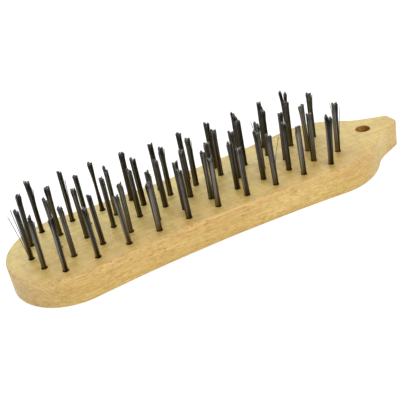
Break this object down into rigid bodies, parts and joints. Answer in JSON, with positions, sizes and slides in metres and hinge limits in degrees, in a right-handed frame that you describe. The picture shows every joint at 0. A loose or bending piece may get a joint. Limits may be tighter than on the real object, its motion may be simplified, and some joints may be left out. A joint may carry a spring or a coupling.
{
  "type": "wire brush",
  "caption": "Hand wire brush: a waisted beech block with a rounded wide end and a short tapered tail with a hang hole, set with staggered rows of straight steel wire tufts.",
  "frame": {"origin": "centre of the flat back's bounding box, on the back face", "axes": "+X along the block towards the hang-hole end, +Z along the bristles, +Y across the block"},
  "size_m": [0.25, 0.0668, 0.0484],
  "materials": {
    "beech": "bare sanded beech",
    "steel_wire": "dark drawn steel wire, lightly oiled"
  },
  "bodies": {
    "root": {"body": "beech", "tuft_r1_01": "steel_wire", "tuft_r1_02": "steel_wire", "tuft_r1_03": "steel_wire", "tuft_r1_04": "steel_wire", "tuft_r1_05": "steel_wire", "tuft_r1_06": "steel_wire", "tuft_r1_07": "steel_wire", "tuft_r1_08": "steel_wire", "tuft_r1_09": "steel_wire", "tuft_r1_10": "steel_wire", "tuft_r2_01": "steel_wire", "tuft_r2_02": "steel_wire", "tuft_r2_03": "steel_wire", "tuft_r2_04": "steel_wire", "tuft_r2_05": "steel_wire", "tuft_r2_06": "steel_wire", "tuft_r2_07": "steel_wire", "tuft_r2_08": "steel_wire", "tuft_r2_09": "steel_wire", "tuft_r2_10": "steel_wire", "tuft_r2_11": "steel_wire", "tuft_r2_12": "steel_wire", "tuft_r3_01": "steel_wire", "tuft_r3_02": "steel_wire", "tuft_r3_03": "steel_wire", "tuft_r3_04": "steel_wire", "tuft_r3_05": "steel_wire", "tuft_r3_06": "steel_wire", "tuft_r3_07": "steel_wire", "tuft_r3_08": "steel_wire", "tuft_r3_09": "steel_wire", "tuft_r3_10": "steel_wire", "tuft_r3_11": "steel_wire", "tuft_r3_12": "steel_wire", "tuft_r4_01": "steel_wire", "tuft_r4_02": "steel_wire", "tuft_r4_03": "steel_wire", "tuft_r4_04": "steel_wire", "tuft_r4_05": "steel_wire", "tuft_r4_06": "steel_wire", "tuft_r4_07": "steel_wire", "tuft_r4_08": "steel_wire", "tuft_r4_09": "steel_wire", "tuft_r4_10": "steel_wire", "tuft_r4_11": "steel_wire", "tuft_r4_12": "steel_wire", "tuft_r5_01": "steel_wire", "tuft_r5_02": "steel_wire", "tuft_r5_03": "steel_wire", "tuft_r5_04": "steel_wire", "tuft_r5_05": "steel_wire", "tuft_r5_06": "steel_wire", "tuft_r5_07": "steel_wire", "tuft_r5_08": "steel_wire", "tuft_r5_09": "steel_wire", "tuft_r5_10": "steel_wire"}
  },
  "joints": []
}
